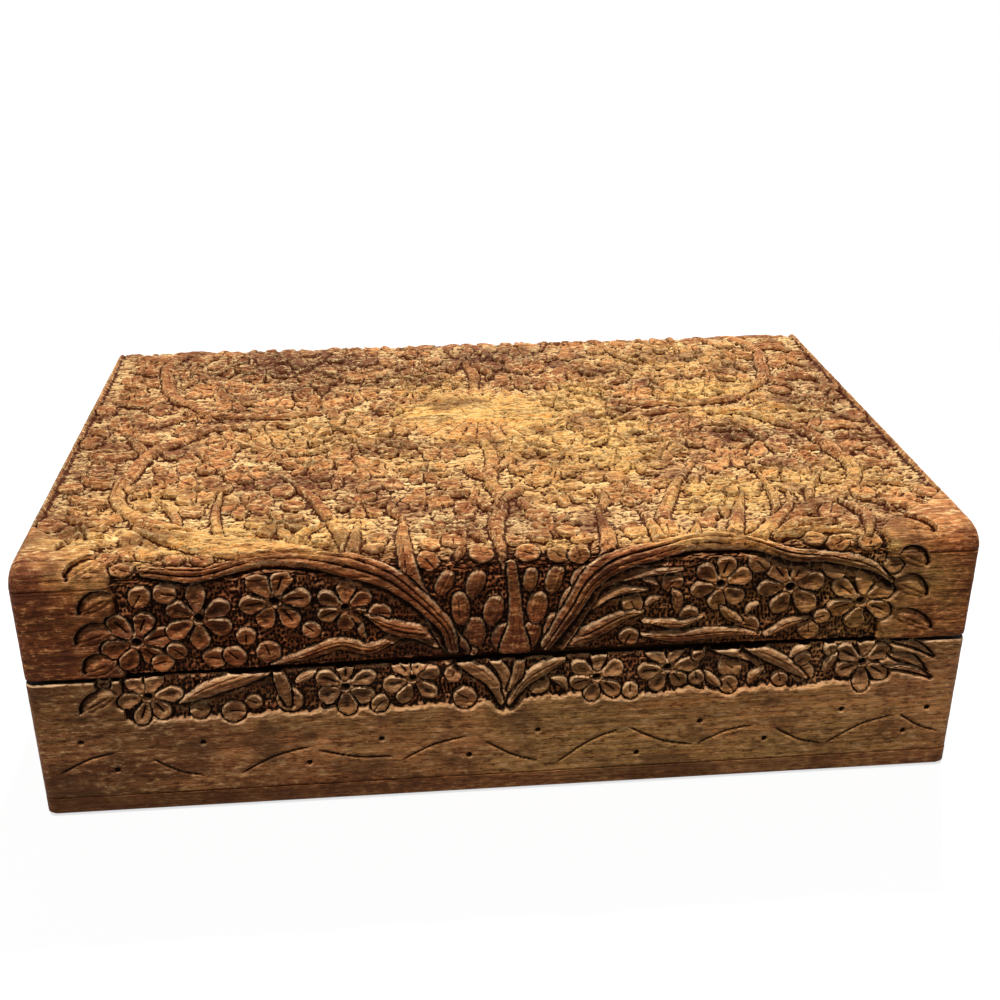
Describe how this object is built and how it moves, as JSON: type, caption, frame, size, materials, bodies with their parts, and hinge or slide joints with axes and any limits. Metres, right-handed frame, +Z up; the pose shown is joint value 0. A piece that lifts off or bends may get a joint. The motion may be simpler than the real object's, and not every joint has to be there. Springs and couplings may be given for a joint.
{
  "type": "keepsake box",
  "caption": "Rectangular carved hardwood keepsake box with a deep hinged lid, rounded top edges and butt hinges at the back.",
  "frame": {"origin": "middle of the underside of the bottom board", "axes": "+X to the right along the long side, -Y out of the carved front, +Y out of the hinged back, +Z up"},
  "size_m": [0.254, 0.1761, 0.076],
  "materials": {
    "carved_wood": "satin",
    "top_wood": "satin",
    "bottom_wood": "satin",
    "hinge_brass": "aged",
    "screw_brass": "aged",
    "nail_steel": "dull"
  },
  "bodies": {
    "base": {"base_front": "carved_wood", "base_back": "carved_wood", "base_left": "carved_wood", "base_right": "carved_wood", "base_bottom": "bottom_wood", "hinge_left_base_leaf": "hinge_brass", "hinge_left_pin": "hinge_brass", "hinge_right_base_leaf": "hinge_brass", "hinge_right_pin": "hinge_brass", "hinge_base_screws": "screw_brass", "bottom_nails": "nail_steel"},
    "lid": {"lid_front": "carved_wood", "lid_back": "carved_wood", "lid_left": "carved_wood", "lid_right": "carved_wood", "lid_top": "top_wood", "hinge_left_lid_leaf": "hinge_brass", "hinge_right_lid_leaf": "hinge_brass", "hinge_lid_screws": "screw_brass"}
  },
  "joints": [
    {"name": "lid_hinge", "type": "hinge", "parent": "base", "child": "lid", "pos_m": [0, 0.0865, 0.0425], "axis": [-1, 0, 0], "range_deg": [0, 104]}
  ]
}
